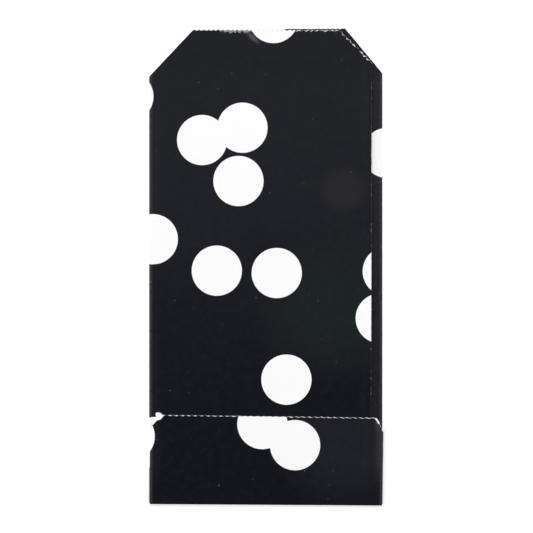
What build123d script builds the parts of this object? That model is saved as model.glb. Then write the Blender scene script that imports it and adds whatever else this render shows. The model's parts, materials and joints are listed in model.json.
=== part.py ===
"""Flat paper favour bag, lying on its front panel with its seam side up.

One sheet of thin printed paper is wrapped into a tube, lapped and glued along a seam near the right
side, cut to a tag shape at the mouth, and closed at the bottom by a glued fold. The sheet is divided
here at its creases, so each panel, strip and fold of the tube is a piece of its own.

Millimetres. +X to the right, +Y to the mouth, +Z out of the seam side. The origin is under the middle
of the flat bag, on the surface that it lies on.
"""
from build123d import *
import os

# Overall size of the flat bag
bag_width = 70.0
bag_height = 143.0

# Sheet and glue
paper = 0.12
glue = 0.03
air_gap = 0.04

# Corners cut off at the mouth, as width and height of each cut
left_cut_width = 13.6
left_cut_height = 14.4
right_cut_width = 11.2
right_cut_height = 13.4
back_cut_width = 9.5
back_cut_height = 9.3

# The back panel's free edge and the lap under it
seam_inset_top = 3.2
seam_inset_bottom = 3.5
lap_width = 29.4
seam_glue_width = 15.0
seam_glue_inset = 7.0

# The mouth: the back ply ends a little lower, and every raw end is saw-toothed
mouth_step = 0.4
mouth_tooth_pitch = 1.45
tooth_depth = 0.25
crease_gap = 0.3

# The folded bottom
flap_height_left = 26.9
flap_height_right = 26.1
flap_tooth_pitch = 1.9
flap_step = 0.35
flap_clip_width = 4.2
flap_clip_height = 2.4
flap_round_width = 2.0
flap_round_height = 3.9
inner_clip_width = 1.4
inner_clip_height = 1.6
bottom_glue_margin = 4.0
bottom_glue_height = 15.0

# Levels of the stack, from the surface up
front_z = 0.0
lap_z = front_z + paper + air_gap
seam_glue_z = lap_z + paper
back_z = seam_glue_z + glue
stack_top = back_z + paper
fold_z = stack_top + glue / 2

# Lines across the bag
half_width = bag_width / 2
mouth_y = bag_height / 2
bottom_y = -bag_height / 2
fold_y = bottom_y + fold_z
left_shoulder_y = mouth_y - left_cut_height
closing_fold_y = mouth_y - right_cut_height
back_mouth_y = mouth_y - mouth_step
panel_end_y = closing_fold_y - crease_gap / 2
lip_start_y = closing_fold_y + crease_gap / 2

# Side creases: each is half a tube whose wall is the paper
left_crease_radius = stack_top / 2
left_crease_z = stack_top / 2
right_crease_radius = (lap_z + paper) / 2
right_crease_z = (lap_z + paper) / 2
panel_left = -half_width + left_crease_radius
panel_right = half_width - right_crease_radius
lap_left = half_width - lap_width
seam_glue_right = half_width - seam_glue_inset
seam_glue_left = seam_glue_right - seam_glue_width


def turned_over(z, thickness):
    """The level that a layer at z comes to once the bottom fold has turned it over."""
    return 2 * fold_z - z - thickness


def on_line(start, end, y):
    """The point at height y on the line from start to end."""
    share = (y - start[1]) / (end[1] - start[1])
    return (start[0] + share * (end[0] - start[0]), y)


def toothed(start, end, pitch):
    """Points of a saw-toothed edge from start to end, with the tips on its right-hand side."""
    along = Vector(*end) - Vector(*start)
    tooth_count = round(along.length / pitch)
    outward = Vector(along.Y, -along.X).normalized() * tooth_depth
    points = [start]
    for tooth in range(tooth_count):
        tip = Vector(*start) + along * ((tooth + 0.5) / tooth_count) + outward
        root = Vector(*start) + along * ((tooth + 1) / tooth_count)
        points.append((tip.X, tip.Y))
        points.append((root.X, root.Y))
    return points


def flap_edge(x):
    """Height of the saw-tooth roots of the folded flap's free edge at x."""
    share = (x + half_width) / bag_width
    height = flap_height_left + share * (flap_height_right - flap_height_left)
    return bottom_y + height - tooth_depth


def seam_edge(y):
    """Where the back panel's free edge lies at height y."""
    share = (y - bottom_y) / bag_height
    inset = seam_inset_bottom + share * (seam_inset_top - seam_inset_bottom)
    return half_width - inset


# The slanted cuts at the mouth, from the shoulder up
left_cut = ((-half_width, left_shoulder_y), (-half_width + left_cut_width, mouth_y))
right_cut = ((half_width, closing_fold_y), (half_width - right_cut_width, mouth_y))
back_cut_top = back_mouth_y - tooth_depth
back_cut_foot = back_cut_top - back_cut_height
back_cut_right = seam_edge(back_cut_foot)

# ---------------------------------------------------------------- the tube, below the closing fold

with BuildPart() as front_panel:
    with BuildSketch(Plane.XY.offset(front_z)):
        with BuildLine():
            Polyline(
                (panel_left, fold_y),
                (panel_right, fold_y),
                (panel_right, panel_end_y),
                on_line(*left_cut, panel_end_y),
                (panel_left, left_shoulder_y),
                close=True,
            )
        make_face()
    extrude(amount=paper)
front_panel.part.label = "front_panel"

with BuildPart() as back_panel:
    with BuildSketch(Plane.XY.offset(back_z)):
        with BuildLine():
            Polyline(
                (panel_left, fold_y),
                (seam_edge(fold_y), fold_y),
                (seam_edge(panel_end_y), panel_end_y),
                on_line(*left_cut, panel_end_y),
                (panel_left, left_shoulder_y),
                close=True,
            )
        make_face()
    extrude(amount=paper)
back_panel.part.label = "back_panel"

with BuildPart() as seam_lap:
    with BuildSketch(Plane.XY.offset(lap_z)):
        with BuildLine():
            Polyline(
                (lap_left, fold_y),
                (panel_right, fold_y),
                (panel_right, panel_end_y),
                (lap_left, panel_end_y),
                close=True,
            )
        make_face()
    extrude(amount=paper)
seam_lap.part.label = "seam_lap"

with BuildPart() as seam_glue:
    with BuildSketch(Plane.XY.offset(seam_glue_z)):
        with BuildLine():
            Polyline(
                (seam_glue_left, fold_y),
                (seam_glue_right, fold_y),
                (seam_glue_right, panel_end_y),
                (seam_glue_left, panel_end_y),
                close=True,
            )
        make_face()
    extrude(amount=glue)
seam_glue.part.label = "seam_glue"


def side_crease(x, z, radius, side, start_y, end_y):
    """Half a paper tube along Y that bulges to the side of its centre line at (x, z)."""
    first_angle = 90 if side < 0 else -90
    with BuildPart() as crease:
        with BuildSketch(Plane.XZ.offset(-start_y)):
            with BuildLine():
                outer = CenterArc((x, z), radius, first_angle, 180)
                inner = CenterArc((x, z), radius - paper, first_angle, 180)
                Line(outer @ 0, inner @ 0)
                Line(outer @ 1, inner @ 1)
            make_face()
        extrude(amount=start_y - end_y)
    return crease


left_side_crease = side_crease(
    panel_left, left_crease_z, left_crease_radius, -1, fold_y, left_shoulder_y
)
left_side_crease.part.label = "left_side_crease"

right_side_crease = side_crease(
    panel_right, right_crease_z, right_crease_radius, 1, fold_y, panel_end_y
)
right_side_crease.part.label = "right_side_crease"

# ---------------------------------------------------------------- the folded bottom


def bottom_crease(ply_z, left_x, right_x):
    """Half a paper tube along X that carries the ply at ply_z round the bottom fold."""
    outer_radius = fold_z - ply_z
    with BuildPart() as crease:
        with BuildSketch(Plane.YZ.offset(left_x)):
            with BuildLine():
                outer = CenterArc((fold_y, fold_z), outer_radius, 90, 180)
                inner = CenterArc((fold_y, fold_z), outer_radius - paper, 90, 180)
                Line(outer @ 0, inner @ 0)
                Line(outer @ 1, inner @ 1)
            make_face()
        extrude(amount=right_x - left_x)
    return crease


bottom_crease_outer = bottom_crease(front_z, panel_left, panel_right)
bottom_crease_outer.part.label = "bottom_crease_outer"

bottom_crease_middle = bottom_crease(lap_z, lap_left, panel_right)
bottom_crease_middle.part.label = "bottom_crease_middle"

bottom_crease_inner = bottom_crease(back_z, panel_left, seam_edge(fold_y))
bottom_crease_inner.part.label = "bottom_crease_inner"

with BuildPart() as flap_outer_ply:
    with BuildSketch(Plane.XY.offset(turned_over(front_z, paper))):
        with BuildLine():
            round_x = panel_right - flap_round_width
            clip_x = panel_left + flap_clip_width
            Polyline(
                (panel_left, fold_y),
                (panel_right, fold_y),
                (panel_right, flap_edge(panel_right) - flap_round_height),
                *toothed((round_x, flap_edge(round_x)), (clip_x, flap_edge(clip_x)), flap_tooth_pitch),
                (panel_left, flap_edge(panel_left) - flap_clip_height),
                close=True,
            )
        make_face()
    extrude(amount=paper)
flap_outer_ply.part.label = "flap_outer_ply"

with BuildPart() as flap_lap_ply:
    with BuildSketch(Plane.XY.offset(turned_over(lap_z, paper))):
        with BuildLine():
            Polyline(
                (lap_left, fold_y),
                (panel_right, fold_y),
                (panel_right, flap_edge(panel_right) - flap_round_height),
                *toothed((round_x, flap_edge(round_x)), (lap_left, flap_edge(lap_left)), flap_tooth_pitch),
                close=True,
            )
        make_face()
    extrude(amount=paper)
flap_lap_ply.part.label = "flap_lap_ply"

with BuildPart() as flap_inner_ply:
    with BuildSketch(Plane.XY.offset(turned_over(back_z, paper))):
        with BuildLine():
            inner_right = seam_edge(fold_y)
            inner_clip_x = panel_left + inner_clip_width
            Polyline(
                (panel_left, fold_y),
                (inner_right, fold_y),
                *toothed(
                    (inner_right, flap_edge(inner_right) + flap_step),
                    (inner_clip_x, flap_edge(inner_clip_x) + flap_step),
                    flap_tooth_pitch,
                ),
                (panel_left, flap_edge(panel_left) - inner_clip_height),
                close=True,
            )
        make_face()
    extrude(amount=paper)
flap_inner_ply.part.label = "flap_inner_ply"

with BuildPart() as flap_seam_glue:
    with BuildSketch(Plane.XY.offset(turned_over(seam_glue_z, glue))):
        with BuildLine():
            Polyline(
                (seam_glue_left, fold_y),
                (seam_glue_right, fold_y),
                (seam_glue_right, flap_edge(seam_glue_right)),
                (seam_glue_left, flap_edge(seam_glue_left)),
                close=True,
            )
        make_face()
    extrude(amount=glue)
flap_seam_glue.part.label = "flap_seam_glue"

flap_left_crease = side_crease(
    panel_left,
    2 * fold_z - left_crease_z,
    left_crease_radius,
    -1,
    fold_y,
    flap_edge(panel_left) - flap_clip_height,
)
flap_left_crease.part.label = "flap_left_crease"

flap_right_crease = side_crease(
    panel_right,
    2 * fold_z - right_crease_z,
    right_crease_radius,
    1,
    fold_y,
    flap_edge(panel_right) - flap_round_height,
)
flap_right_crease.part.label = "flap_right_crease"

with BuildPart() as bottom_glue:
    with BuildSketch(Plane.XY.offset(stack_top)):
        with BuildLine():
            glue_right = seam_edge(fold_y) - bottom_glue_margin
            glue_left = panel_left + bottom_glue_margin
            glue_start = fold_y + bottom_glue_margin
            glue_end = glue_start + bottom_glue_height
            Polyline(
                (glue_left, glue_start),
                (glue_right, glue_start),
                (glue_right, glue_end),
                (glue_left, glue_end),
                close=True,
            )
        make_face()
    extrude(amount=glue)
bottom_glue.part.label = "bottom_glue"

# ---------------------------------------------------------------- the lips above the closing fold

mouth_root_y = mouth_y - tooth_depth
lip_left_foot = on_line(*left_cut, lip_start_y)
lip_left_top = on_line(*left_cut, mouth_root_y)
lip_right_foot = on_line(*right_cut, lip_start_y)
lip_right_top = on_line(*right_cut, mouth_root_y)

with BuildPart() as front_lip_ply:
    with BuildSketch(Plane.XY.offset(front_z)):
        with BuildLine():
            Polyline(
                lip_left_foot,
                lip_right_foot,
                *toothed(lip_right_top, lip_left_top, mouth_tooth_pitch),
                close=True,
            )
        make_face()
    extrude(amount=paper)
front_lip_ply.part.label = "front_lip_ply"

with BuildPart() as back_lip_ply:
    with BuildSketch(Plane.XY.offset(back_z)):
        with BuildLine():
            back_top_right = (back_cut_right - back_cut_width, back_cut_top)
            back_top_left = on_line(*left_cut, back_cut_top)
            Polyline(
                lip_left_foot,
                (seam_edge(lip_start_y), lip_start_y),
                (back_cut_right, back_cut_foot),
                *toothed(back_top_right, back_top_left, mouth_tooth_pitch),
                close=True,
            )
        make_face()
    extrude(amount=paper)
back_lip_ply.part.label = "back_lip_ply"

with BuildPart() as lap_lip_ply:
    with BuildSketch(Plane.XY.offset(lap_z)):
        with BuildLine():
            Polyline(
                (lap_left, lip_start_y),
                lip_right_foot,
                *toothed(lip_right_top, (lap_left, mouth_root_y), mouth_tooth_pitch),
                close=True,
            )
        make_face()
    extrude(amount=paper)
lap_lip_ply.part.label = "lap_lip_ply"

with BuildPart() as lap_lip_glue:
    with BuildSketch(Plane.XY.offset(seam_glue_z)):
        with BuildLine():
            glue_top_right = min(seam_glue_right, back_top_right[0])
            Polyline(
                (seam_glue_left, lip_start_y),
                (seam_glue_right, lip_start_y),
                (seam_glue_right, back_cut_foot),
                (glue_top_right, back_cut_top),
                (seam_glue_left, back_cut_top),
                close=True,
            )
        make_face()
    extrude(amount=glue)
lap_lip_glue.part.label = "lap_lip_glue"

pieces = [
    front_panel,
    back_panel,
    seam_lap,
    seam_glue,
    left_side_crease,
    right_side_crease,
    bottom_crease_outer,
    bottom_crease_middle,
    bottom_crease_inner,
    flap_outer_ply,
    flap_lap_ply,
    flap_inner_ply,
    flap_seam_glue,
    flap_left_crease,
    flap_right_crease,
    bottom_glue,
    front_lip_ply,
    back_lip_ply,
    lap_lip_ply,
    lap_lip_glue,
]
os.makedirs("parts", exist_ok=True)
for piece in pieces:
    export_step(piece.part, f"parts/{piece.part.label}.step")
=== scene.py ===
"""The look of a flat paper favour bag that lies seam side up on a white table.

Every ply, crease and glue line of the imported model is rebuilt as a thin, slightly uneven sheet of dense
mesh. The white dots are printed on the unrolled paper, so they run on round its folds. The bag's lengths
are in millimetres until a mesh is made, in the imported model's frame: +Y to the mouth, +Z out of the seam
side. The table and the lamps are placed in metres.
"""
import json
import math
import random

import bpy
import numpy as np
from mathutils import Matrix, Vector
from mathutils.geometry import delaunay_2d_cdt


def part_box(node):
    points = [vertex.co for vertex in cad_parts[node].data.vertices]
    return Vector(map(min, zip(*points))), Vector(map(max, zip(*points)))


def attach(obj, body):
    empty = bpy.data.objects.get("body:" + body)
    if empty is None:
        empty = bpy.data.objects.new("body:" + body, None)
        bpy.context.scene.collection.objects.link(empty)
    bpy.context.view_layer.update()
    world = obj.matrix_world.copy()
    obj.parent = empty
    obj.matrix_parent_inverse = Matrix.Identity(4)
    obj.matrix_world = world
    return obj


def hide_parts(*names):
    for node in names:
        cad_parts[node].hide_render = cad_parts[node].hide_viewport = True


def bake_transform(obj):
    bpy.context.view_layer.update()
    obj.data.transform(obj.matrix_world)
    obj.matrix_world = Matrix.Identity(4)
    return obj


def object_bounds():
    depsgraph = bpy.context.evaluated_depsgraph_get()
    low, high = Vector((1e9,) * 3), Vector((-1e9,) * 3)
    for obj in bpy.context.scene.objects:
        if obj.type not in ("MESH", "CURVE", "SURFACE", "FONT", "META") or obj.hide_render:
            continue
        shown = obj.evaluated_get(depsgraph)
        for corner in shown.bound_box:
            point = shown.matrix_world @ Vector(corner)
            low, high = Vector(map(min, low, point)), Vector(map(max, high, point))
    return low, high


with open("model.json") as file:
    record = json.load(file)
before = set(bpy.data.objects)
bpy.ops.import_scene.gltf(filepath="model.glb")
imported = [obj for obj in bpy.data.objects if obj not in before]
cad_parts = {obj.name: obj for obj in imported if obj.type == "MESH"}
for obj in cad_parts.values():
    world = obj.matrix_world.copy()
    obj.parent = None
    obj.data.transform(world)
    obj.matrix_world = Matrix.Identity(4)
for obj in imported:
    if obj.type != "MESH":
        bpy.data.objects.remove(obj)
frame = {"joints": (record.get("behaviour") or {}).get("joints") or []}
cad_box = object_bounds()
MM = 0.001


def box_mm(node):
    """Lowest and highest corner of a CAD node, in millimetres."""
    low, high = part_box(node)
    return low / MM, high / MM


def joint(name):
    """The record's joint of that name."""
    return next(j for j in frame["joints"] if j["name"] == name)


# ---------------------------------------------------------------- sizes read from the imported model

front_low, front_high = box_mm("front_panel")
back_low, _ = box_mm("back_panel")
lap_low, _ = box_mm("seam_lap")
_, glue_high = box_mm("seam_glue")
left_low, left_high = box_mm("left_side_crease")
right_low, right_high = box_mm("right_side_crease")
fold_low, fold_high = box_mm("bottom_crease_outer")
_, lip_high = box_mm("front_lip_ply")

paper = front_high.z - front_low.z
front_z = front_low.z
lap_z = lap_low.z
back_z = back_low.z
fold_z = (fold_low.z + fold_high.z) / 2
fold_y = front_low.y
bottom_y = fold_low.y
mouth_y = lip_high.y
panel_left = left_high.x
panel_right = right_low.x
bag_left = left_low.x
bag_right = right_high.x
bag_width = bag_right - bag_left
lap_left = lap_low.x
left_shoulder_y = left_high.y
closing_fold_y = joint("closing_fold")["pos_m"][1] / MM

# ---------------------------------------------------------------- sizes of the look

# The slanted cuts, the saw-toothed mouth and the seam
left_cut_width = 13.6
right_cut_width = 11.2
right_shoulder_y = closing_fold_y
back_mouth_drop = 0.35
back_cut_width = 9.65
back_cut_height = 9.75
back_cut_pitch = 1.8
back_cut_depth = 0.34
mouth_tooth_pitch = 1.45
mouth_tooth_depth = 0.42
lap_tooth_depth = 0.22
corner_tooth_tip = 0.1
corner_tooth_width = 1.0
seam_inset_top = 3.2
seam_inset_bottom = 3.5

# The flap that is folded up at the bottom, and the slight tilt of its fold
flap_tooth_pitch = 1.9
flap_tooth_depth = 0.26
flap_height_left = 26.68
flap_height_right = 26.62
flap_lap_step = 0.06
fold_tilt = math.radians(0.36)

# The bands of paper that bend at the closing fold and at the front lip
fold_band = 2.0
lip_band = 1.6

# How unevenly a raw edge ends: a clean cut, the seam's edge, a short tear, a tooth, brushed glue
clean_depth = 0.03
seam_depth = 0.035
tear_depth = 0.05
tooth_fray = 0.045
brushed_depth = 0.2

# How far glue stays from the bottom fold, and at the lip from the back ply's raw edges
glue_foot_clearance = 0.4
glue_clearance = 1.4

# How finely the sheets are divided
grid_step = 1.3
band_step = 0.2
edge_step = 0.3
edge_rows = (0.12, 0.3, 0.6)
crease_steps = 12
tooth_steps = 6
rim_clearance = 0.06
row_clearance = 0.05
share_clearance = 0.002
far_from_edge = 50.0
sharp_angle = math.radians(40)

# The printed dots, how soft and how unsteady their rims are, and the one that only shows through
dot_radius = 7.53
dot_softness = 0.035
dot_wander = 0.09
ghost_radius = 6.4

# ---------------------------------------------------------------- the printed sheet, unrolled

# u runs round the tube from the back panel's free edge over the left crease and the front panel to the lap.
# v is the height, which runs on below the bottom fold into the flap.


def back_u(x):
    return x


def front_u(x):
    return 2 * bag_left - x


def lap_u(x):
    return x - 2 * bag_width


back_dots = [
    (-19.1, 38.0), (-7.0, 41.7), (-8.2, 25.7), (-33.9, 8.25), (-14.7, -1.2), (3.3, -1.9),
    (6.2, -33.9), (2.3, 74.6), (-41.25, 51.1), (36.6, -1.4), (34.5, -15.5), (-35.2, -52.8),
]
lap_dots = [(36.5, 34.15), (23.2, 23.0), (17.0, -38.0)]
front_dots = [
    (14.5, 60.0), (-3.5, 45.0), (-17.0, 63.5), (1.0, 24.0), (-10.0, 15.0), (25.0, 12.0), (-23.0, -17.0),
    (18.0, -12.0), (-1.0, -31.0), (25.5, -46.0), (11.0, -52.5), (-18.0, -50.0), (-25.5, -61.0),
]
flap_dots = [(-1.32, -47.2), (8.56, -53.4), (-41.07, -51.4)]

# Marks in the ink: the lap's dot that shows through, two patches, and a scuff by the notch with its width
ghost = lap_dots[1]
green_patch = (19, -12)
paler_patch = (front_u(24), 2 * bottom_y + 52)
notch_scuff = ((-6.0, 70.6), (-1.9, 66.9), 1.7)

# Dust specks: cells of their pattern to the millimetre, and the radius of a large one
speck_density = 0.7
speck_radius = 0.08


def unrolled_dots():
    """Centres of every printed dot on the unrolled sheet."""
    dots = [(back_u(x), y) for x, y in back_dots]
    dots += [(lap_u(x), y) for x, y in lap_dots]
    dots += [(front_u(x), y) for x, y in front_dots]
    dots += [(front_u(x), 2 * bottom_y - y) for x, y in flap_dots]
    return dots


# ---------------------------------------------------------------- how the paper lies

def ease(t):
    """0 below 0, 1 above 1 and smooth between."""
    t = np.clip(t, 0, 1)
    return t * t * (3 - 2 * t)


# How far the paper rises
bulge = 0.34
bulge_ripple = 0.1
lip_curl = 0.22
front_ripple = 0.05
free_edge_spring = 0.45
flap_spring = 0.12

# Over what length each rise comes in, from the folds, the side creases and the seam glue
rise_from_fold = 14
flap_rise = 10
lip_rise = 12
back_crease_reach = 3.2
front_crease_reach = 6
past_glue_reach = 3.2
free_edge_crease_reach = 3

# The share of its bulge that the back loses towards the lip, and over what length below the left shoulder
lip_flattening = 0.45
flattening_length = 20


def from_side_creases(x, reach):
    """0 at the side creases and 1 at reach inside them."""
    return ease((x - panel_left) / reach) * ease((panel_right - x) / reach)


def from_bottom_fold(y):
    """0 at the bottom fold and 1 from rise_from_fold above it."""
    return ease((y - fold_y) / rise_from_fold)


def ripple(x, y):
    """Gentle unevenness of the paper, between about -1 and 1."""
    slow = np.sin(0.071 * x + 0.9) * np.cos(0.047 * y - 0.4)
    across = np.sin(0.13 * x - 0.052 * y + 2.1)
    along = np.sin(0.035 * x + 0.11 * y + 0.7)
    return 0.5 * slow + 0.3 * across + 0.2 * along


def back_lift(x, y):
    """How far the back panel and what is glued to it rise over the flat stack."""
    spread = from_side_creases(x, back_crease_reach) * from_bottom_fold(y)
    flatter_at_lip = 1 - lip_flattening * ease((y - left_shoulder_y + flattening_length) / flattening_length)
    lip = lip_curl * ease((y - closing_fold_y) / lip_rise)
    return spread * flatter_at_lip * (bulge + bulge_ripple * ripple(x, y)) + lip


def front_lift(x, y):
    """How far the front panel leaves the surface that it lies on."""
    spread = front_ripple * from_side_creases(x, front_crease_reach) * from_bottom_fold(y)
    return spread * (1 + ripple(x, y))


def free_edge_lift(x, y):
    """How far the back panel springs up beyond its glue, and with it the flap that lies over it."""
    past_glue = ease((x - glue_high.x) / past_glue_reach)
    short_of_crease = ease((panel_right - x) / free_edge_crease_reach)
    return free_edge_spring * past_glue * short_of_crease * from_bottom_fold(y)


def back_ply_lift(x, y):
    """The lift of the back panel itself, with its free edge."""
    return back_lift(x, y) + free_edge_lift(x, y)


def flap_lift(x, y):
    """How far the flap's plies rise: with the back panel below, and a little more away from the fold."""
    return back_ply_lift(x, y) + flap_spring * ease((y - fold_y) / flap_rise)


# ---------------------------------------------------------------- outlines

def on_line(start, end, y):
    """The point at height y on the line from start to end."""
    share = (y - start[1]) / (end[1] - start[1])
    return (start[0] + share * (end[0] - start[0]), y)


def seam_edge(y):
    """Where the back panel's free edge lies at height y."""
    share = (y - bottom_y) / (mouth_y - bottom_y)
    return bag_right - seam_inset_bottom - share * (seam_inset_top - seam_inset_bottom)


def fold_line(x):
    """Height of the slightly tilted bottom fold at x."""
    return fold_y - x * math.tan(fold_tilt)


def flap_foot(x):
    """Height of the same fold at x on the flap before it is turned over."""
    return fold_y + x * math.tan(fold_tilt)


def turned_over(z, thickness):
    """The level that a layer at z comes to once the bottom fold has turned it over."""
    return 2 * fold_z - z - thickness


def height_on(line, x):
    """The height of the line at x."""
    (x0, y0), (x1, y1) = line
    return y0 + (x - x0) / (x1 - x0) * (y1 - y0)


def cut(*points):
    """A clean stretch of an outline."""
    return {"points": list(points), "torn": None}


def saw(start, end, pitch, depth, torn, seed, shift=0.0):
    """A saw-toothed raw edge with its tips on the right-hand side, a little uneven as paper tears."""
    chance = random.Random(seed)
    start, end = np.array(start), np.array(end)
    along = end - start
    outward = np.array((along[1], -along[0])) / np.linalg.norm(along)
    tooth_count = max(1, round(np.linalg.norm(along) / pitch))
    points = []
    for step in range(tooth_count * tooth_steps + 1):
        phase = (step / tooth_steps + shift) % 1
        height = depth * (1 - abs(2 * phase - 1)) + chance.uniform(-tooth_fray, tooth_fray)
        points.append(tuple(start + along * step / (tooth_count * tooth_steps) + outward * height))
    return {"points": points, "torn": torn}


def rough(start, end, depth, torn, seed):
    """A straight raw edge whose fibres end unevenly."""
    chance = random.Random(seed)
    start, end = np.array(start), np.array(end)
    along = end - start
    outward = np.array((along[1], -along[0])) / np.linalg.norm(along)
    count = max(2, round(np.linalg.norm(along) / edge_step))
    points = [tuple(start)]
    for step in range(1, count):
        points.append(tuple(start + along * step / count + outward * chance.uniform(-depth, depth)))
    points.append(tuple(end))
    return {"points": points, "torn": torn}


left_cut = ((bag_left, left_shoulder_y), (bag_left + left_cut_width, mouth_y))
right_cut = ((bag_right, right_shoulder_y), (bag_right - right_cut_width, mouth_y))

# ---------------------------------------------------------------- meshes

band_start = closing_fold_y - fold_band / 2
rows_in_bands = np.arange(band_start, band_start + fold_band + lip_band + band_step, band_step)


def divided(points):
    """The closed outline with points added so that no stretch is long and the folding bands have rows."""
    out = []
    for (x0, y0), (x1, y1) in zip(points, points[1:] + points[:1]):
        length = math.hypot(x1 - x0, y1 - y0)
        if length < 1e-6:
            continue
        count = math.ceil(length / grid_step)
        shares = {step / count for step in range(count)}
        if abs(y1 - y0) > band_step:
            row_shares = ((row - y0) / (y1 - y0) for row in rows_in_bands)
            shares |= {share for share in row_shares if share_clearance < share < 1 - share_clearance}
        out += [(x0 + share * (x1 - x0), y0 + share * (y1 - y0)) for share in sorted(shares)]
    return out


def inside(points, outline):
    """Which of the points lie inside the outline."""
    x, y = points[:, 0], points[:, 1]
    found = np.zeros(len(points), bool)
    for (x0, y0), (x1, y1) in zip(outline, outline[1:] + outline[:1]):
        if y0 != y1:
            crosses = (y0 > y) != (y1 > y)
            found ^= crosses & (x < (x1 - x0) * (y - y0) / (y1 - y0) + x0)
    return found


def distance_to(points, line):
    """Distance of each point from an open polyline."""
    best = np.full(len(points), 1e3)
    for a, b in zip(line, line[1:]):
        a, b = np.array(a), np.array(b)
        along = b - a
        share = np.clip(((points - a) @ along) / max(along @ along, 1e-12), 0, 1)
        best = np.minimum(best, np.linalg.norm(points - a - share[:, None] * along, axis=1))
    return best


def inner_points(outline, edges):
    """Points inside the outline: a grid, closer rows where it folds, and rows along the torn edges."""
    (x0, y0), (x1, y1) = np.min(outline, axis=0), np.max(outline, axis=0)
    rows = list(np.arange(y0 + grid_step / 2, y1, grid_step))
    rows += [y for y in rows_in_bands if y0 + band_step / 2 < y < y1 - band_step / 2]
    columns = np.arange(x0 + grid_step / 2, x1, grid_step)
    points = [(x, y) for y in rows for x in columns]
    for edge in edges:
        if edge["torn"] is None:
            continue
        line = np.array(edge["points"])
        along = line[-1] - line[0]
        length = np.linalg.norm(along)
        inward = np.array((-along[1], along[0])) / length
        for row in edge_rows:
            for place in np.arange(edge_step / 2, length, edge_step):
                points.append(tuple(line[0] + along * place / length + inward * row))
    points = np.array(points)
    points = points[inside(points, outline)]
    return points[distance_to(points, outline + outline[:1]) > rim_clearance]


def triangulated(outline, loose):
    """The outline and the loose points as flat triangles, all turning left."""
    points = [Vector(p) for p in outline] + [Vector(p) for p in loose]
    count = len(outline)
    loop = [(i, (i + 1) % count) for i in range(count)]
    places, _, faces, _, _, _ = delaunay_2d_cdt(points, loop, [], 1, 1e-5)
    flat = np.array([tuple(p) for p in places])
    triangles = np.array([tuple(f) for f in faces])
    a, b, c = flat[triangles[:, 0]], flat[triangles[:, 1]], flat[triangles[:, 2]]
    turns = (b[:, 0] - a[:, 0]) * (c[:, 1] - a[:, 1]) - (b[:, 1] - a[:, 1]) * (c[:, 0] - a[:, 0])
    triangles[turns < 0] = triangles[turns < 0][:, ::-1]
    return flat, triangles


def thick_sheet(name, upper, lower, faces, printed_up, facts):
    """A closed sheet from two layers of points with the same faces. Material 0 is the printed side.

    facts holds the values that the materials read at each point.
    """
    count = len(upper)
    loops = [list(f) for f in faces]
    mesh_faces = loops + [[v + count for v in reversed(f)] for f in loops]
    kinds = [0 if printed_up else 1] * len(loops) + [1 if printed_up else 0] * len(loops)
    directed = {(f[i], f[(i + 1) % len(f)]) for f in loops for i in range(len(f))}
    for a, b in sorted(directed):
        if (b, a) not in directed:
            mesh_faces.append([b, a, a + count, b + count])
            kinds.append(1)
    mesh = bpy.data.meshes.new(name)
    mesh.from_pydata(((np.concatenate([upper, lower])) * MM).tolist(), [], mesh_faces)
    mesh.polygons.foreach_set("material_index", kinds)
    mesh.polygons.foreach_set("use_smooth", [True] * len(mesh_faces))
    mesh.set_sharp_from_angle(angle=sharp_angle)
    for key, values in facts.items():
        doubled = np.concatenate([values, values])
        if doubled.ndim == 2:
            attribute = mesh.attributes.new(key, "FLOAT_VECTOR", "POINT")
            attribute.data.foreach_set("vector", doubled.astype(np.float32).ravel())
        else:
            attribute = mesh.attributes.new(key, "FLOAT", "POINT")
            attribute.data.foreach_set("value", doubled.astype(np.float32))
    mesh.validate()
    piece = bpy.data.objects.new(name, mesh)
    bpy.context.scene.collection.objects.link(piece)
    return piece


def turned(x, y, angle):
    """Points turned by angle about the middle of the bottom fold."""
    rise = y - bottom_y
    sine, cosine = math.sin(angle), math.cos(angle)
    return x * cosine - rise * sine, bottom_y + x * sine + rise * cosine


def ply(name, edges, level, lift, u_of, printed_up, thickness=paper, flap=False):
    """A ply with this outline, its lower side at level plus lift. A flap ply is turned with the fold."""
    outline = []
    for edge in edges:
        for point in edge["points"]:
            if not outline or math.dist(point, outline[-1]) > 1e-4:
                outline.append(point)
    outline = divided(outline)
    flat, triangles = triangulated(outline, inner_points(outline, edges))
    x, y = flat[:, 0], flat[:, 1]
    edge_distance = np.full(len(flat), far_from_edge)
    torn_width = np.zeros(len(flat))
    torn_whiteness = np.zeros(len(flat))
    for edge in edges:
        if edge["torn"] is not None:
            distance = distance_to(flat, edge["points"])
            nearer = distance < edge_distance
            width, whiteness = edge["torn"](x, y)
            edge_distance[nearer] = distance[nearer]
            torn_width[nearer] = width[nearer]
            torn_whiteness[nearer] = whiteness[nearer]
    v = 2 * bottom_y - y if flap else y
    sheet = np.stack([u_of(x), v, np.zeros(len(x))], axis=1)
    px, py = turned(x, y, -2 * fold_tilt) if flap else (x, y)
    z = level + lift(x, y)
    upper = np.stack([px, py, z + thickness], axis=1)
    lower = np.stack([px, py, z], axis=1)
    facts = {
        "sheet": sheet, "edge_distance": edge_distance,
        "torn_width": torn_width, "torn_whiteness": torn_whiteness,
    }
    return thick_sheet(name, upper, lower, triangles.tolist(), printed_up, facts)


def grid_faces(rows, columns):
    """Quads over a grid of points stored row by row."""
    return [
        [r * columns + c, r * columns + c + 1, (r + 1) * columns + c + 1, (r + 1) * columns + c]
        for r in range(rows - 1)
        for c in range(columns - 1)
    ]


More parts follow.
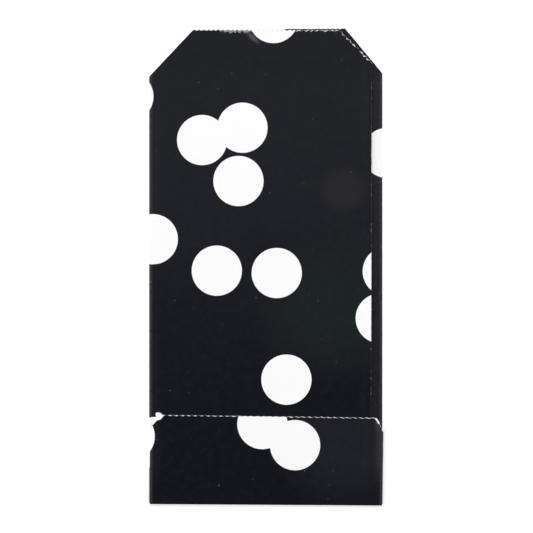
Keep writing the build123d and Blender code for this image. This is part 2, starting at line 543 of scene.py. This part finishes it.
def crease(name, profile, lengths, place, sheet_at):
    """Half a paper tube. profile holds (angle, share) pairs and place gives each point.

    sheet_at gives the point's place on the unrolled sheet.
    """
    outer, inner, sheet = [], [], []
    for length in lengths:
        for angle, share in profile:
            outer.append(place(length, angle, 0))
            inner.append(place(length, angle, paper))
            sheet.append((*sheet_at(length, share), 0))
    facts = {
        "sheet": np.array(sheet),
        "edge_distance": np.full(len(sheet), far_from_edge),
        "torn_width": np.zeros(len(sheet)),
        "torn_whiteness": np.zeros(len(sheet)),
    }
    faces = grid_faces(len(lengths), len(profile))
    return thick_sheet(name, np.array(outer), np.array(inner), faces, True, facts)


def half_turn(first, last):
    """Angles from first to last in degrees, each with its share of the way."""
    shares = [step / crease_steps for step in range(crease_steps + 1)]
    return [(math.radians(first + share * (last - first)), share) for share in shares]


def lengthwise(start, end):
    """Rows from start to end, closer in the folding bands."""
    count = math.ceil((end - start) / grid_step)
    rows = {start + (end - start) * step / count for step in range(count + 1)}
    rows |= {float(row) for row in rows_in_bands if start + row_clearance < row < end - row_clearance}
    return sorted(rows)


def side_crease(name, x, low_z, high_z, side, start, end, u_first, u_last, flap=False):
    """The crease that joins the plies between low_z and high_z at the left (side -1) or right (side 1)."""
    radius = (high_z - low_z) / 2
    middle = (high_z + low_z) / 2
    profile = half_turn(90, 270) if side < 0 else half_turn(-90, 90)

    def place(length, angle, depth):
        px = x + (radius - depth) * math.cos(angle)
        pz = middle + (radius - depth) * math.sin(angle)
        if not flap:
            return px, length, pz
        tx, ty = turned(px, length, -2 * fold_tilt)
        return tx, ty, pz

    def sheet_at(length, share):
        return u_first + share * (u_last - u_first), 2 * bottom_y - length if flap else length

    return crease(name, profile, lengthwise(start, end), place, sheet_at)


def bottom_crease(name, ply_z, left, right, u_of):
    """The half round that carries the ply at ply_z over the bottom fold, along the fold's tilted line."""
    radius = fold_z - ply_z
    count = math.ceil((right - left) / grid_step)
    lengths = [left + (right - left) * step / count for step in range(count + 1)]
    sheet_low = 2 * bottom_y - fold_y

    def place(length, angle, depth):
        py = fold_line(length) + (radius - depth) * math.cos(angle)
        return length, py, fold_z + (radius - depth) * math.sin(angle)

    def sheet_at(length, share):
        return u_of(length), sheet_low + share * (fold_y - sheet_low)

    return crease(name, half_turn(90, 270), lengths, place, sheet_at)


# ---------------------------------------------------------------- how wide each raw edge shows white

# A white function gives the width of the white and how white it is, from 0 to 1, at each point. On the back
# ply's mouth edge a torn stretch runs from torn_from to torn_to, and a thin broken line from thin_from on.
torn_from = -13.8
torn_to = -3.8
thin_from = 8


def wandering_wave(t, rate, wander, wander_rate):
    """A wave along t, between -1 and 1, whose spacing wanders."""
    return np.sin(rate * t + wander * np.sin(wander_rate * t))


def level_white(width, whiteness=1.0):
    """The same white width all along an edge."""
    return lambda x, y: (np.full(len(x), width), np.full(len(x), whiteness))


def mouth_white(x, y):
    """White on the back ply's mouth edge: torn and greyish left of the notch, thin and broken right."""
    torn_stretch = ease((x - torn_from) / 0.8) * ease((torn_to - x) / 0.6)
    thin_stretch = ease((x - thin_from) / 1.5)
    blob = ease(0.5 + 0.8 * wandering_wave(x, 3.3, 1.7, 0.9))
    width = 0.03 + 0.55 * torn_stretch + (0.06 + 0.14 * blob) * thin_stretch
    return width, 0.3 + (0.2 + 0.45 * blob) * thin_stretch


def cut_white(x, y):
    """A broken line of white along the back ply's right-hand cut, faint where it meets the mouth."""
    below_mouth = ease((back_top - 0.3 - y) / 1.6)
    blob = ease(0.3 + wandering_wave(y, 4.6, 1.9, 1.3)) * (0.25 + 0.75 * below_mouth)
    return 0.05 + 0.27 * blob, 0.3 + 0.2 * below_mouth + 0.45 * blob


def seam_white(x, y):
    """A very faint line down the seam, with sparse specks."""
    dash = ease(2.5 * wandering_wave(y, 1.1, 2.3, 0.37) * np.sin(0.31 * y + 1.1) - 0.7)
    speck = ease(5 * wandering_wave(y, 2.3, 3, 0.23) * np.sin(0.71 * y) - 3.4)
    return 0.035 + 0.02 * dash + 0.03 * speck, 0.14 + 0.18 * dash + 0.4 * speck


def flap_white(x, y):
    """A thin broken line of white along the flap's raw edge."""
    return 0.03 + 0.05 * ease(np.sin(1.1 * x) + np.sin(0.37 * x)), np.full(len(x), 0.8)


clean_white = level_white(0.02)

# ---------------------------------------------------------------- the plies

lip_line = closing_fold_y + fold_band / 2
front_top = mouth_y - mouth_tooth_depth
back_top = front_top - back_mouth_drop
back_cut_foot = back_top - back_cut_height
left_corner = (panel_left, height_on(left_cut, panel_left))
right_corner = (panel_right, height_on(right_cut, panel_right))


def make_front_panel():
    edges = [
        cut((panel_left, fold_line(panel_left)), (panel_right, fold_line(panel_right)), right_corner),
        cut(on_line(*right_cut, lip_line), on_line(*left_cut, lip_line), left_corner),
    ]
    return ply("front_sheet", edges, front_z, front_lift, front_u, False)


def make_front_lip():
    right_top = on_line(*right_cut, front_top)
    left_top = on_line(*left_cut, front_top)
    edges = [
        cut(on_line(*left_cut, lip_line), on_line(*right_cut, lip_line)),
        rough(on_line(*right_cut, lip_line), right_top, clean_depth, clean_white, seed=11),
        saw(right_top, left_top, mouth_tooth_pitch, mouth_tooth_depth, level_white(0.12), seed=12),
        rough(left_top, on_line(*left_cut, lip_line), clean_depth, clean_white, seed=13),
    ]
    return ply("front_lip_sheet", edges, front_z, front_lift, front_u, False)


def make_back_panel():
    foot_right = (seam_edge(fold_y), fold_line(seam_edge(fold_y)))
    edges = [
        cut((panel_left, fold_line(panel_left)), foot_right),
        rough(foot_right, (seam_edge(closing_fold_y), closing_fold_y), seam_depth, seam_white, seed=21),
        cut(on_line(*left_cut, closing_fold_y), left_corner),
    ]
    return ply("back_sheet", edges, back_z, back_ply_lift, back_u, True)


def make_back_lip():
    seam_top = (seam_edge(back_cut_foot), back_cut_foot)
    cut_top = (seam_top[0] - back_cut_width, back_top)
    left_top = on_line(*left_cut, back_top)
    edges = [
        cut(on_line(*left_cut, closing_fold_y)),
        rough((seam_edge(closing_fold_y), closing_fold_y), seam_top, seam_depth, seam_white, seed=22),
        saw(seam_top, cut_top, back_cut_pitch, back_cut_depth, cut_white, seed=23),
        saw(cut_top, left_top, mouth_tooth_pitch, mouth_tooth_depth, mouth_white, seed=24),
        rough(left_top, on_line(*left_cut, closing_fold_y), clean_depth, clean_white, seed=25),
    ]
    return ply("back_lip_sheet", edges, back_z, back_ply_lift, back_u, True)


def make_seam_lap():
    foot_left = (lap_left, fold_line(lap_left))
    edges = [
        cut(foot_left, (panel_right, fold_line(panel_right)), (panel_right, closing_fold_y)),
        rough((lap_left, closing_fold_y), foot_left, clean_depth, level_white(0.1), seed=31),
    ]
    return ply("lap_sheet", edges, lap_z, back_lift, lap_u, True)


def make_lap_lip():
    lap_top = mouth_y - lap_tooth_depth
    top_right = on_line(*right_cut, lap_top)
    edges = [
        cut((lap_left, closing_fold_y), (panel_right, closing_fold_y)),
        rough(right_corner, top_right, clean_depth, level_white(0.04), seed=32),
        cut((top_right[0] - corner_tooth_tip, mouth_y)),
        saw(
            (top_right[0] - corner_tooth_width, lap_top), (lap_left, lap_top),
            mouth_tooth_pitch, lap_tooth_depth, level_white(0.02), seed=33, shift=0.5,
        ),
    ]
    return ply("lap_lip_sheet", edges, lap_z, back_lift, lap_u, True)


# The flap's clipped left and rounded right corner, and the same corners of the inner and lap plies below it
flap_left_end = bottom_y + 22.6
flap_right_end = bottom_y + 22.5
flap_clip = [
    (-31.0, bottom_y + flap_height_left - flap_tooth_depth), (-31.8, bottom_y + 25.5),
    (-33.2, bottom_y + 24.9), (-34.05, bottom_y + 23.8),
]
flap_round = [
    (panel_right, flap_right_end), (34.52, bottom_y + 23.4), (34.15, bottom_y + 24.3),
    (33.8, bottom_y + 24.7), (33.35, bottom_y + 25.0), (32.95, bottom_y + 25.65),
    (32.45, bottom_y + flap_height_right - flap_tooth_depth),
]
flap_edge = (flap_clip[0], flap_round[-1])
under_corner = [
    (-31.1, bottom_y + 26.5), (-31.85, bottom_y + 27.2), (-32.6, bottom_y + 27.4), (-33.3, bottom_y + 27.3),
    (-33.4, bottom_y + 26.6), (-33.2, bottom_y + 26.0), (panel_left, bottom_y + 25.9),
]
lap_corner = [
    (34.1, bottom_y + 23.8), (33.85, bottom_y + 24.6), (33.75, bottom_y + 25.25), (33.35, bottom_y + 25.95),
    (32.8, bottom_y + 26.6),
]


def rough_run(points, depth, width, seed):
    """Rough raw edges from point to point, each with a seed of its own."""
    return [
        rough(start, end, depth, level_white(width), seed=seed + number)
        for number, (start, end) in enumerate(zip(points, points[1:]))
    ]


def raised(point, rise):
    """The point moved up the flap by rise."""
    return (point[0], point[1] + rise)


def make_flap_outer():
    edges = [
        cut((panel_left, flap_foot(panel_left)), (panel_right, flap_foot(panel_right))),
        *rough_run(flap_round, clean_depth, width=0.07, seed=41),
        saw(flap_round[-1], flap_clip[0], flap_tooth_pitch, flap_tooth_depth, flap_white, seed=45),
        *rough_run(flap_clip, tear_depth, width=0.12, seed=46),
        cut((panel_left, flap_left_end)),
    ]
    level = turned_over(front_z, paper)
    return ply("flap_outer_sheet", edges, level, flap_lift, front_u, True, flap=True)


def make_flap_lap():
    top_right = raised(flap_edge[1], flap_lap_step)
    top_left = (lap_left, height_on(flap_edge, lap_left) + flap_lap_step)
    foot_right = (panel_right, flap_foot(panel_right))
    edges = [
        cut((lap_left, flap_foot(lap_left)), foot_right, (panel_right, flap_right_end)),
        *rough_run(lap_corner, tear_depth, width=0.1, seed=51),
        saw(top_right, top_left, flap_tooth_pitch, flap_tooth_depth, level_white(0.1), seed=55, shift=0.1),
    ]
    level = turned_over(lap_z, paper)
    return ply("flap_lap_sheet", edges, level, flap_lift, lap_u, False, flap=True)


def make_flap_inner():
    right = seam_edge(fold_y)
    top_right = (right, height_on(flap_edge, right))
    top_left = flap_edge[0]
    edges = [
        cut((panel_left, flap_foot(panel_left)), (right, flap_foot(right))),
        saw(top_right, top_left, flap_tooth_pitch, flap_tooth_depth, level_white(0.1), seed=61, shift=0.55),
        cut(*under_corner),
    ]
    level = turned_over(back_z, paper)
    return ply("flap_inner_sheet", edges, level, flap_lift, back_u, False, flap=True)


def make_creases():
    """The creases at the sides and across the bottom, by the CAD node that each stands for."""
    left_flap_low = turned_over(back_z, paper)
    left_flap_high = turned_over(front_z, 0)
    right_flap_low = turned_over(lap_z, paper)
    seam_foot = seam_edge(fold_y)
    return {
        "left_side_crease": side_crease(
            "left_crease_sheet", panel_left, front_z, back_z + paper, -1,
            fold_line(panel_left), left_shoulder_y, back_u(panel_left), front_u(panel_left),
        ),
        "right_side_crease": side_crease(
            "right_crease_sheet", panel_right, front_z, lap_z + paper, 1,
            fold_line(panel_right), closing_fold_y, front_u(panel_right), lap_u(panel_right),
        ),
        "flap_left_crease": side_crease(
            "flap_left_crease_sheet", panel_left, left_flap_low, left_flap_high, -1,
            flap_foot(panel_left), flap_left_end, front_u(panel_left), back_u(panel_left), flap=True,
        ),
        "flap_right_crease": side_crease(
            "flap_right_crease_sheet", panel_right, right_flap_low, left_flap_high, 1,
            flap_foot(panel_right), flap_right_end, lap_u(panel_right), front_u(panel_right), flap=True,
        ),
        "bottom_crease_outer": bottom_crease("fold_outer_sheet", front_z, panel_left, panel_right, front_u),
        "bottom_crease_middle": bottom_crease("fold_middle_sheet", lap_z, lap_left, panel_right, lap_u),
        "bottom_crease_inner": bottom_crease("fold_inner_sheet", back_z, panel_left, seam_foot, back_u),
    }


def glue_line(name, node, lift, flap=False):
    """A brushed line of glue with wavering edges, in the place of the CAD node and hidden by the plies."""
    low, high = box_mm(node)
    foot = max(low.y, fold_y + glue_foot_clearance)
    corners = [(low.x, foot), (high.x, foot), (high.x, high.y), (low.x, high.y)]
    if node == "lap_lip_glue":
        diagonal = (
            (seam_edge(back_cut_foot) - glue_clearance, back_cut_foot),
            (seam_edge(back_cut_foot) - back_cut_width - glue_clearance, back_top),
        )
        top = back_top - glue_clearance
        corners[2:] = [(high.x, height_on(diagonal, high.x)), on_line(*diagonal, top), (low.x, top)]
    edges = [
        rough(start, end, brushed_depth, level_white(0), seed=71 + number)
        for number, (start, end) in enumerate(zip(corners, corners[1:] + corners[:1]))
    ]
    return ply(name, edges, low.z, lift, back_u, True, thickness=high.z - low.z, flap=flap)


# ---------------------------------------------------------------- materials

def new_material(name):
    """An empty node material with its Principled shader."""
    material = bpy.data.materials.new(name)
    material.use_nodes = True
    return material, material.node_tree, material.node_tree.nodes["Principled BSDF"]


def feed(tree, socket, value):
    """Link an input socket to another node's socket, or set it to a plain value."""
    if isinstance(value, bpy.types.NodeSocket):
        tree.links.new(value, socket)
    else:
        socket.default_value = value


def add(tree, kind, operation=None, **inputs):
    """A new node, with its inputs set or linked. An underscore and a number name an input by its place."""
    node = tree.nodes.new(kind)
    if operation:
        node.operation = operation
    for key, value in inputs.items():
        feed(tree, node.inputs[int(key[1:])] if key[0] == "_" else node.inputs[key], value)
    return node


def maths(tree, operation, first, second=0.0):
    """The result of a Math node on two values or sockets."""
    return add(tree, "ShaderNodeMath", operation, _0=first, _1=second).outputs[0]


def times(tree, first, second):
    """Two values or sockets multiplied."""
    return maths(tree, "MULTIPLY", first, second)


def attribute(tree, name):
    """The attribute node of that name."""
    node = tree.nodes.new("ShaderNodeAttribute")
    node.attribute_name = name
    return node


def noise(tree, place, scale, detail=3.0):
    """A noise value over the sheet, with scale in waves to the millimetre."""
    return add(tree, "ShaderNodeTexNoise", Vector=place, Scale=scale, Detail=detail).outputs[0]


def ramp(tree, value, zero_at, one_at):
    """0 where the value is zero_at, 1 where it is one_at, smooth between."""
    node = add(tree, "ShaderNodeMapRange", Value=value)
    node.interpolation_type = "SMOOTHSTEP"
    node.inputs["From Min"].default_value = zero_at
    node.inputs["From Max"].default_value = one_at
    return node.outputs[0]


def between(tree, value, low, high):
    """A value from 0 to 1 brought to lie between low and high."""
    node = add(tree, "ShaderNodeMapRange", Value=value)
    node.inputs["To Min"].default_value = low
    node.inputs["To Max"].default_value = high
    return node.outputs[0]


def stretched(tree, place, scales):
    """The place on the sheet with each of its axes scaled."""
    return add(tree, "ShaderNodeVectorMath", "MULTIPLY", _0=place, _1=scales).outputs[0]


def distance_from(tree, place, centre):
    """Distance on the sheet from a centre."""
    return add(tree, "ShaderNodeVectorMath", "DISTANCE", _0=place, _1=(*centre, 0)).outputs["Value"]


def blend_colours(tree, share, first, second):
    """A mix of two colours, given as values or sockets: the first at share 0, the second at share 1."""
    factor_place, first_place, second_place, result_place = 0, 6, 7, 2
    node = tree.nodes.new("ShaderNodeMix")
    node.data_type = "RGBA"
    feed(tree, node.inputs[factor_place], share)
    feed(tree, node.inputs[first_place], first)
    feed(tree, node.inputs[second_place], second)
    return node.outputs[result_place]


def nearest_dot(tree, place, centres):
    """Distance on the sheet from the nearest of the centres."""
    nearest = distance_from(tree, place, centres[0])
    for centre in centres[1:]:
        nearest = maths(tree, "MINIMUM", nearest, distance_from(tree, place, centre))
    return nearest


# The first two inks carry painted light. The first is the ink painted as if lit, near the mouth, and the
# second the ink painted in shade, towards the bottom. The first is also the colour that the paler patch on
# the flap goes to.
ink_top = (0.0109, 0.0116, 0.0161, 1)
ink_painted_shade = (0.0032, 0.0036, 0.0082, 1)
ink_green = (0.0082, 0.0136, 0.0138, 1)
ink_worn = (0.040, 0.039, 0.038, 1)
dot_white = (0.955, 0.955, 0.958, 1)
core_white = (0.94, 0.94, 0.94, 1)
raw_white = (0.935, 0.935, 0.94, 1)
raw_shade = (0.8, 0.79, 0.76, 1)
glue_dark = (0.82, 0.78, 0.68, 1)
glue_pale = (0.9, 0.88, 0.82, 1)
table_white = (0.93, 0.93, 0.93, 1)


def near_place(tree, place, centre, outer, inner):
    """1 within the inner radius of a centre on the sheet, 0 beyond the outer one."""
    return ramp(tree, distance_from(tree, place, centre), outer, inner)


def scuff(tree, place, start, end, width):
    """1 along the middle of a short soft scuff from start to end on the sheet, 0 outside it."""
    mapping = add(tree, "ShaderNodeMapping", Vector=place)
    mapping.vector_type = "TEXTURE"
    along = Vector(end) - Vector(start)
    middle = (Vector(end) + Vector(start)) / 2
    mapping.inputs["Location"].default_value = (middle.x, middle.y, 0)
    mapping.inputs["Rotation"].default_value = (0, 0, math.atan2(along.y, along.x))
    mapping.inputs["Scale"].default_value = (along.length / 2, width / 2, 1)
    away = add(tree, "ShaderNodeVectorMath", "LENGTH", _0=mapping.outputs[0])
    return ramp(tree, away.outputs["Value"], zero_at=1.3, one_at=0.2)


def worn_creases(tree, u):
    """How far the ink is rubbed at the two side creases, and how much paler it is in a faint band on the lap
    beside the right one.
    """
    worn = None
    for crease_u, strength in ((back_u(bag_left), 0.9), (lap_u(bag_right), 0.8)):
        away = maths(tree, "ABSOLUTE", maths(tree, "SUBTRACT", u, crease_u))
        rubbed = times(tree, ramp(tree, away, zero_at=1.3, one_at=0.5), strength)
        worn = rubbed if worn is None else maths(tree, "MAXIMUM", worn, rubbed)
    along_lap = maths(tree, "SUBTRACT", lap_u(bag_right), u)
    paler_lap_band = times(tree, ramp(tree, along_lap, zero_at=4.5, one_at=3.0), 0.2)
    on_lap = maths(tree, "LESS_THAN", u, lap_u(bag_right))
    return maths(tree, "MAXIMUM", worn, times(tree, paler_lap_band, on_lap))


def dust_specks(tree, place):
    """Tiny pale specks of dust and pinholes: one in a few cells of a pattern, each of its own size."""
    cells = add(tree, "ShaderNodeTexVoronoi", Vector=place, Scale=speck_density)
    chance = add(tree, "ShaderNodeSeparateColor", Color=cells.outputs["Color"])
    present = ramp(tree, chance.outputs[0], zero_at=0.66, one_at=0.9)
    size = maths(tree, "ADD", times(tree, chance.outputs[1], 0.8), 0.35)
    radius = times(tree, size, speck_radius * speck_density)
    past_rim = maths(tree, "SUBTRACT", cells.outputs["Distance"], radius)
    inside_speck = ramp(tree, past_rim, zero_at=0.015, one_at=-0.01)
    brightness = maths(tree, "POWER", chance.outputs[2], 3.0)
    strength = maths(tree, "ADD", times(tree, brightness, 0.5), 0.05)
    return times(tree, times(tree, inside_speck, present), strength)


def printed_ink(tree, place):
    """Near-black ink with painted light, painted paler towards the mouth and darker towards the bottom fold.
    It also has a faint green patch, mottle, a dot's ghost, wear and dust.
    """
    axes = add(tree, "ShaderNodeSeparateXYZ", Vector=place)
    # Painted light: the ink goes from its painted shade at the bottom to its painted lit colour at the
    # mouth, and noise makes the place of that change wander.
    drift = times(tree, maths(tree, "SUBTRACT", noise(tree, place, scale=0.045), 0.5), 40.0)
    height = maths(tree, "ADD", axes.outputs["Y"], drift)
    ink = blend_colours(tree, ramp(tree, height, zero_at=-50, one_at=45), ink_painted_shade, ink_top)
    green = times(tree, near_place(tree, place, green_patch, outer=27, inner=5), 0.9)
    ink = blend_colours(tree, green, ink, ink_green)
    paler_flap = times(tree, near_place(tree, place, paler_patch, outer=24, inner=8), 0.8)
    ink = blend_colours(tree, paler_flap, ink, ink_top)
    mottle = ramp(tree, noise(tree, place, scale=0.5, detail=6.0), zero_at=0.4, one_at=0.75)
    ink = blend_colours(tree, times(tree, mottle, 0.07), ink, ink_worn)
    shows_through = near_place(tree, place, ghost, outer=ghost_radius + 1.6, inner=ghost_radius - 2.4)
    ink = blend_colours(tree, times(tree, shows_through, 0.24), ink, ink_worn)
    patchy = ramp(tree, noise(tree, place, scale=0.9, detail=5.0), zero_at=0.1, one_at=0.6)
    wear = times(tree, worn_creases(tree, axes.outputs["X"]), patchy)
    ink = blend_colours(tree, wear, ink, ink_worn)
    grazed = times(tree, scuff(tree, place, *notch_scuff), noise(tree, place, scale=1.3, detail=6.0))
    ink = blend_colours(tree, times(tree, grazed, 0.12), ink, raw_white)
    return blend_colours(tree, dust_specks(tree, place), ink, core_white)


def torn_fibres(tree, place):
    """How much of the white paper core shows: most at a raw edge, and uneven from place to place."""
    distance = attribute(tree, "edge_distance").outputs["Fac"]
    width = attribute(tree, "torn_width").outputs["Fac"]
    slow_change = ramp(tree, noise(tree, place, scale=0.9), zero_at=0.3, one_at=0.7)
    uneven = maths(tree, "ADD", slow_change, noise(tree, place, scale=4.5))
    reach = times(tree, width, uneven)
    torn = ramp(tree, maths(tree, "SUBTRACT", reach, distance), zero_at=-0.03, one_at=0.05)
    streaks = ramp(tree, noise(tree, place, scale=2.0, detail=4.0), zero_at=0.25, one_at=0.62)
    strength = maths(tree, "ADD", times(tree, streaks, 0.7), 0.3)
    whiteness = attribute(tree, "torn_whiteness").outputs["Fac"]
    return times(tree, torn, times(tree, strength, whiteness))


def printed_paper():
    """Coated paper: near-black ink with white dots, white where its raw edges are torn."""
    material, tree, shader = new_material("printed_paper")
    place = attribute(tree, "sheet").outputs["Vector"]
    wander = times(tree, maths(tree, "SUBTRACT", noise(tree, place, scale=2.2), 0.5), dot_wander)
    away = maths(tree, "ADD", nearest_dot(tree, place, unrolled_dots()), wander)
    dots = ramp(tree, away, zero_at=dot_radius + dot_softness, one_at=dot_radius - dot_softness)
    colour = blend_colours(tree, dots, printed_ink(tree, place), dot_white)
    torn = torn_fibres(tree, place)
    tree.links.new(blend_colours(tree, torn, colour, core_white), shader.inputs["Base Color"])

    grain = noise(tree, place, scale=3.0, detail=6.0)
    coating = between(tree, grain, 0.3, 0.4)
    rough_edge = times(tree, torn, 0.45)
    tree.links.new(maths(tree, "ADD", coating, rough_edge), shader.inputs["Roughness"])
    fibres = maths(tree, "ADD", times(tree, noise(tree, place, scale=0.35), 1.6), grain)
    bump = add(tree, "ShaderNodeBump", Height=fibres, Strength=0.06, Distance=0.0002)
    tree.links.new(bump.outputs[0], shader.inputs["Normal"])
    shader.inputs["Specular IOR Level"].default_value = 0.2
    return material


def raw_paper():
    """The uncoated white inside of the sheet and its cut edges, with fine fibres."""
    material, tree, shader = new_material("raw_paper")
    place = attribute(tree, "sheet").outputs["Vector"]
    fibres = noise(tree, stretched(tree, place, (1.0, 3.5, 1.0)), scale=1.6, detail=8.0)
    cloud = ramp(tree, noise(tree, place, scale=0.4), zero_at=0.3, one_at=0.7)
    shade = times(tree, maths(tree, "ADD", fibres, cloud), 0.2)
    colour = blend_colours(tree, shade, raw_white, raw_shade)
    tree.links.new(colour, shader.inputs["Base Color"])
    shader.inputs["Roughness"].default_value = 0.85
    bump = add(tree, "ShaderNodeBump", Height=fibres, Strength=0.25, Distance=0.0001)
    tree.links.new(bump.outputs[0], shader.inputs["Normal"])
    return material


def dried_glue():
    """Dried water-based glue, slightly streaked along the line it was brushed."""
    material, tree, shader = new_material("dried_glue")
    place = attribute(tree, "sheet").outputs["Vector"]
    streaks = noise(tree, stretched(tree, place, (2.5, 0.2, 1.0)), scale=0.8, detail=5.0)
    colour = blend_colours(tree, streaks, glue_dark, glue_pale)
    tree.links.new(colour, shader.inputs["Base Color"])
    tree.links.new(between(tree, streaks, 0.3, 0.55), shader.inputs["Roughness"])
    return material


printed = printed_paper()
raw = raw_paper()
glue = dried_glue()

# ---------------------------------------------------------------- every piece, its node and its body

plies = {
    "front_panel": make_front_panel(),
    "front_lip_ply": make_front_lip(),
    "back_panel": make_back_panel(),
    "back_lip_ply": make_back_lip(),
    "seam_lap": make_seam_lap(),
    "lap_lip_ply": make_lap_lip(),
    "flap_outer_ply": make_flap_outer(),
    "flap_lap_ply": make_flap_lap(),
    "flap_inner_ply": make_flap_inner(),
    **make_creases(),
}
glue_lines = {
    "seam_glue": glue_line("seam_glue_line", "seam_glue", back_lift),
    "lap_lip_glue": glue_line("lap_lip_glue_line", "lap_lip_glue", back_lift),
    "flap_seam_glue": glue_line("flap_seam_glue_line", "flap_seam_glue", flap_lift, flap=True),
    "bottom_glue": glue_line("bottom_glue_line", "bottom_glue", back_lift),
}

for node, piece in plies.items():
    piece.data.materials.append(printed)
    piece.data.materials.append(raw)
    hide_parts(node)
for node, piece in glue_lines.items():
    # Glue looks the same on both of its sides
    piece.data.materials.append(glue)
    piece.data.materials.append(glue)
    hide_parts(node)

across_fold = [
    "front_panel", "back_panel", "seam_lap", "right_side_crease", "seam_glue",
    "back_lip_ply", "lap_lip_ply", "lap_lip_glue",
]
for node, piece in {**plies, **glue_lines}.items():
    if node in across_fold:
        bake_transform(piece)
    elif node == "front_lip_ply":
        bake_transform(piece)
    else:
        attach(piece, "bag")

# ---------------------------------------------------------------- floor, light and camera

def make_floor():
    """A wide round white table top just under the bag, swept up at its rim. It keeps the bag's shadow.

    The profile gives the radius and height of each ring, in metres.
    """
    rim_count = 64
    profile = [(2.4, 0.0), (2.7, 0.03), (2.9, 0.12), (3.0, 0.3)]
    glow = 0.25
    clear_of_bag = 0.02 * MM
    points = [(0.0, 0.0, 0.0)]
    for radius, height in profile:
        for step in range(rim_count):
            angle = 2 * math.pi * step / rim_count
            points.append((radius * math.cos(angle), radius * math.sin(angle), height))
    faces = [[0, 1 + step, 1 + (step + 1) % rim_count] for step in range(rim_count)]
    for ring in range(len(profile) - 1):
        inner, outer = 1 + ring * rim_count, 1 + (ring + 1) * rim_count
        for step in range(rim_count):
            after = (step + 1) % rim_count
            faces.append([inner + step, outer + step, outer + after, inner + after])
    mesh = bpy.data.meshes.new("table_top")
    mesh.from_pydata(points, [], faces)
    floor = bpy.data.objects.new("table_top", mesh)
    floor.location.z = cad_box[0].z - clear_of_bag
    bpy.context.scene.collection.objects.link(floor)
    material, tree, shader = new_material("white_table")
    shader.inputs["Base Color"].default_value = table_white
    shader.inputs["Roughness"].default_value = 0.8
    shader.inputs["Specular IOR Level"].default_value = 0.1
    path = tree.nodes.new("ShaderNodeLightPath")
    seen = maths(tree, "MAXIMUM", path.outputs["Is Camera Ray"], path.outputs["Is Glossy Ray"])
    seen = maths(tree, "MAXIMUM", seen, path.outputs["Is Transmission Ray"])
    shader.inputs["Emission Color"].default_value = (1, 1, 1, 1)
    tree.links.new(times(tree, seen, glow), shader.inputs["Emission Strength"])
    mesh.materials.append(material)


def soft_box(name, place, side, watts):
    """A square lamp that faces the bag, with its place and side in metres."""
    lamp = bpy.data.lights.new(name, "AREA")
    lamp.size = side
    lamp.energy = watts
    holder = bpy.data.objects.new(name, lamp)
    holder.location = place
    holder.rotation_euler = (-Vector(place)).to_track_quat("-Z", "Y").to_euler()
    bpy.context.scene.collection.objects.link(holder)


def make_light():
    """A dim even surround and three soft boxes round the bag, the strongest beyond its mouth."""
    world = bpy.data.worlds.new("studio")
    world.use_nodes = True
    background = world.node_tree.nodes["Background"]
    background.inputs["Color"].default_value = (1, 1, 1, 1)
    background.inputs["Strength"].default_value = 0.15
    bpy.context.scene.world = world
    box_side = 1.5
    soft_box("box_mouth", (0.0, 1.9, 1.4), box_side, 41.0)
    soft_box("box_left", (-2.0, -0.3, 1.4), box_side, 34.0)
    soft_box("box_right", (2.0, -0.3, 1.4), box_side, 23.0)


def make_camera():
    """A long lens straight above the bag."""
    field_width = 160.1 * MM
    centre_x, centre_y = 0.22 * MM, 0.05 * MM
    lens = 150.0
    data = bpy.data.cameras.new("camera")
    data.lens = lens
    data.sensor_width = 36.0
    data.clip_end = 10.0
    camera = bpy.data.objects.new("camera", data)
    camera.location = (centre_x, centre_y, field_width * lens / data.sensor_width)
    bpy.context.scene.collection.objects.link(camera)
    bpy.context.scene.camera = camera


make_floor()
make_light()
make_camera()
bpy.context.scene.view_settings.view_transform = "Standard"
